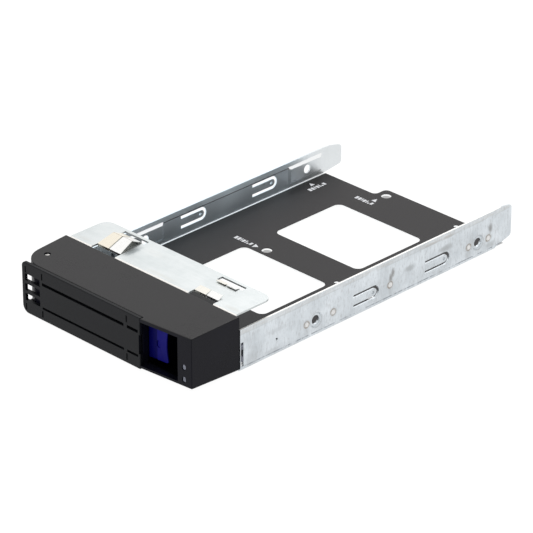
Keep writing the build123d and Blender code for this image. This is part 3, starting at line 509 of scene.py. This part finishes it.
def dress_light_pipes():
    g = Graph("clear_pipe")
    ripple = g.noise(g.stretched(900, 200, 900), 3.0, 0.5)
    colour = g.mix(g.span(ripple, 0.35, 0.65), (0.20, 0.215, 0.27), (0.30, 0.32, 0.40))
    rough = g.span(ripple, 0.3, 0.7, 0.12, 0.25)
    relief = g.bump(ripple, 0.15, 0.03 * MM)
    pipe = g.surface(colour, rough, relief, Transmission_Weight=0.2, IOR=1.49)
    for name in ("light_pipe_lower", "light_pipe_upper"):
        dress(name, pipe)


def dress_film():
    """Black film, slightly wavy and dusty, with painted shade darker at the left and a painted
    shadow darker in front.
    """
    g = Graph("black_film")
    x, y = g.axes("XY")
    weave = g.noise(g.even(1400), 3.0, 0.6)
    wave = g.noise(g.even(22), 3.0, 0.5)
    dust = g.noise(g.even(1100, 5.0), 2.0, 0.8)
    plain = g.span(wave, 0.3, 0.7)
    colour = g.mix(plain, (0.0200, 0.0178, 0.0190), (0.0272, 0.0246, 0.0260))
    slanted = g.math("ADD", x, g.math("MULTIPLY", y, 0.15))
    # Painted shade towards the left rail
    painted_left_shade = g.span(slanted, -58.0, -20.0, smooth=True)
    colour = g.mix(painted_left_shade, (0.008, 0.008, 0.009), colour)
    # Painted shadow towards the front, under the plate
    front = g.span(y, -62.0, 20.0, 0.85, 0.0, smooth=True)
    colour = g.mix(front, colour, (0.004, 0.0045, 0.0055))
    colour = g.stain(colour, g.span(dust, 0.72, 0.8), 0.2, (0.15, 0.15, 0.15))
    rough = g.span(wave, 0.3, 0.7, 0.42, 0.5)
    relief = g.bump(weave, 0.15, 0.02 * MM, g.bump(wave, 0.06, 0.6 * MM))
    dress("insulating_film", g.surface(colour, rough, relief, Specular_IOR_Level=0.22))


# Printed marks on the film: a triangle and a row of short bars at each drive position

def add_marks():
    film_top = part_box("insulating_film")[1].z
    low_z = film_top + 0.005 * MM
    high_z = film_top + 0.03 * MM

    # Width, foot and top of each bar in a row, and the gap between two bars
    bar_sizes = (
        (1.4, 0.0, 2.4),
        (1.3, 0.0, 2.4),
        (0.6, 0.2, 2.4),
        (1.3, 0.0, 2.2),
        (0.6, 0.0, 2.4),
        (1.0, 0.0, 1.0),
        (1.3, 0.2, 2.3),
    )
    bar_gap = 0.5
    mesh = bpy.data.meshes.new("film_marks")
    bm = bmesh.new()

    def prism(points):
        """Thin flat prism on the film, over the given corners."""
        low = [bm.verts.new((x * MM, y * MM, low_z)) for x, y in points]
        high = [bm.verts.new((x * MM, y * MM, high_z)) for x, y in points]
        bm.faces.new(high)
        bm.faces.new(low[::-1])
        for i in range(len(points)):
            j = (i + 1) % len(points)
            bm.faces.new((low[i], low[j], high[j], high[i]))

    def bars(start, along, up):
        """Row of bars from a start point, with the directions of the row and of the bars."""
        place = 0.0
        for width, foot, top in bar_sizes:
            corners = (place, foot), (place + width, foot), (place + width, top), (place, top)
            prism([
                (
                    start[0] + run * along[0] + rise * up[0],
                    start[1] + run * along[1] + rise * up[1],
                )
                for run, rise in corners
            ])
            place += width + bar_gap

    across, lengthwise, leftwards = (1, 0), (0, 1), (-1, 0)
    bars((-34.9, 13.2), across, lengthwise)
    prism([(-23.4, 15.9), (-22.8, 12.6), (-20.5, 14.5)])
    bars((-24.8, 80.0), across, lengthwise)
    prism([(-16.4, 86.4), (-17.5, 83.6), (-14.8, 83.5)])
    bars((-43.3, 70.9), lengthwise, leftwards)
    prism([(-49.6, 76.2), (-46.8, 74.6), (-47.0, 77.3)])
    bmesh.ops.recalc_face_normals(bm, faces=bm.faces)
    bm.to_mesh(mesh)
    bm.free()

    piece = bpy.data.objects.new("film_marks", mesh)
    scene.collection.objects.link(piece)
    g = Graph("printed_white")
    worn = g.noise(g.even(1600), 3.0, 0.7)
    colour = g.mix(g.span(worn, 0.3, 0.5), (0.62, 0.64, 0.70), (0.93, 0.94, 0.97))
    rough = g.span(worn, 0.3, 0.7, 0.45, 0.6)
    mesh.materials.append(g.surface(colour, rough, g.bump(worn, 0.1, 0.01 * MM)))
    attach(piece, "caddy")


# Floor, light and sky

def make_floor():
    """White floor that glows for the camera, with painted shade under the tray for the camera, and
    a soft contact shadow.
    """
    half_size = 4.0
    below_tray = 0.04 * MM
    glow_level, tray_shade_level, glow_share = 1.12, 0.42, 0.86
    mesh = bpy.data.meshes.new("floor")
    bm = bmesh.new()
    bmesh.ops.create_grid(bm, x_segments=1, y_segments=1, size=half_size)
    bmesh.ops.translate(bm, verts=bm.verts, vec=(0, 0, -below_tray))
    bm.to_mesh(mesh)
    bm.free()
    floor = bpy.data.objects.new("floor", mesh)
    scene.collection.objects.link(floor)

    g = Graph("floor_white")
    x, y = g.axes("XY")
    cloud = g.noise(g.even(3), 2.0, 0.5)
    diffuse = g.add("ShaderNodeBsdfDiffuse")
    g.feed(diffuse.inputs["Color"], g.mix(cloud, (0.90, 0.90, 0.90), (0.92, 0.92, 0.92)))

    # Painted shade for the camera on the floor under the film and its rear heel, less the windows,
    # which are seen a little shifted
    drift, margin = 0.7, 1.0
    main = g.times(g.band(x, 0.0, 49.0, 1.0), g.band(y, 10.0, 77.0, 1.0))
    heel = g.times(g.band(x, 16.0, 35.5, 0.5), g.band(y, 89.0, 6.5, 0.5))
    painted_shade_footprint = g.math("MAXIMUM", main, heel)
    for middle, half in WINDOWS:
        hole = g.times(
            g.band(x, -drift, WINDOW_HALF + margin, 0.4),
            g.band(y, middle + drift, half + margin, 0.4),
        )
        painted_shade_footprint = g.math("MULTIPLY", painted_shade_footprint, g.math("SUBTRACT", 1.0, hole))
    rays = g.add("ShaderNodeLightPath")
    dim = g.math("MULTIPLY", painted_shade_footprint, rays.outputs["Is Camera Ray"])
    glow = g.add("ShaderNodeEmission")
    g.feed(glow.inputs["Strength"], g.span(dim, 0.0, 1.0, glow_level, tray_shade_level))
    glow.inputs["Color"].default_value = (1.0, 1.0, 1.0, 1.0)

    bounced = g.math("MAXIMUM", rays.outputs["Is Glossy Ray"], rays.outputs["Is Transmission Ray"])
    seen = g.math("MAXIMUM", rays.outputs["Is Camera Ray"], bounced)
    mixed = g.add("ShaderNodeMixShader")
    g.feed(mixed.inputs[0], g.math("MULTIPLY", seen, glow_share))
    g.tree.links.new(diffuse.outputs[0], mixed.inputs[1])
    g.tree.links.new(glow.outputs[0], mixed.inputs[2])
    g.tree.links.new(mixed.outputs[0], g.output.inputs["Surface"])
    mesh.materials.append(g.material)


def make_sky():
    """White studio sky, brighter to the camera and in reflections than as light."""
    light_level, seen_level = 0.55, 1.0
    world = bpy.data.worlds.new("studio")
    world.use_nodes = True
    scene.world = world
    tree = world.node_tree
    background = tree.nodes["Background"]
    background.inputs["Color"].default_value = (1.0, 1.0, 1.0, 1.0)
    path = tree.nodes.new("ShaderNodeLightPath")
    either = tree.nodes.new("ShaderNodeMath")
    either.operation = "MAXIMUM"
    tree.links.new(path.outputs["Is Camera Ray"], either.inputs[0])
    tree.links.new(path.outputs["Is Glossy Ray"], either.inputs[1])
    level = tree.nodes.new("ShaderNodeMapRange")
    level.inputs["To Min"].default_value = light_level
    level.inputs["To Max"].default_value = seen_level
    tree.links.new(either.outputs[0], level.inputs["Value"])
    tree.links.new(level.outputs[0], background.inputs["Strength"])


def softbox(name, place, size, power):
    """Round studio lamp that faces the caddy."""
    data = bpy.data.lights.new(name, "AREA")
    data.shape = "DISK"
    data.size = size
    data.energy = power
    lamp = bpy.data.objects.new(name, data)
    lamp.location = place
    lamp.rotation_euler = (-Vector(place)).to_track_quat("-Z", "Y").to_euler()
    scene.collection.objects.link(lamp)


make_camera()
dress_tray()
dress_plate()
dress_clip("spring_clip_left", (0.90, 0.84, 0.72))
dress_clip("spring_clip_right", (0.92, 0.89, 0.82))
dress_small_metal()
dress_black_plastic()
dress_button()
dress_light_pipes()
dress_film()
add_marks()
make_floor()
make_sky()
softbox("key_light", place=(-0.5, 0.9, 1.5), size=0.9, power=9.0)
softbox("fill_light", place=(-0.5, -1.5, 0.9), size=1.2, power=5.0)

scene.view_settings.view_transform = "Standard"
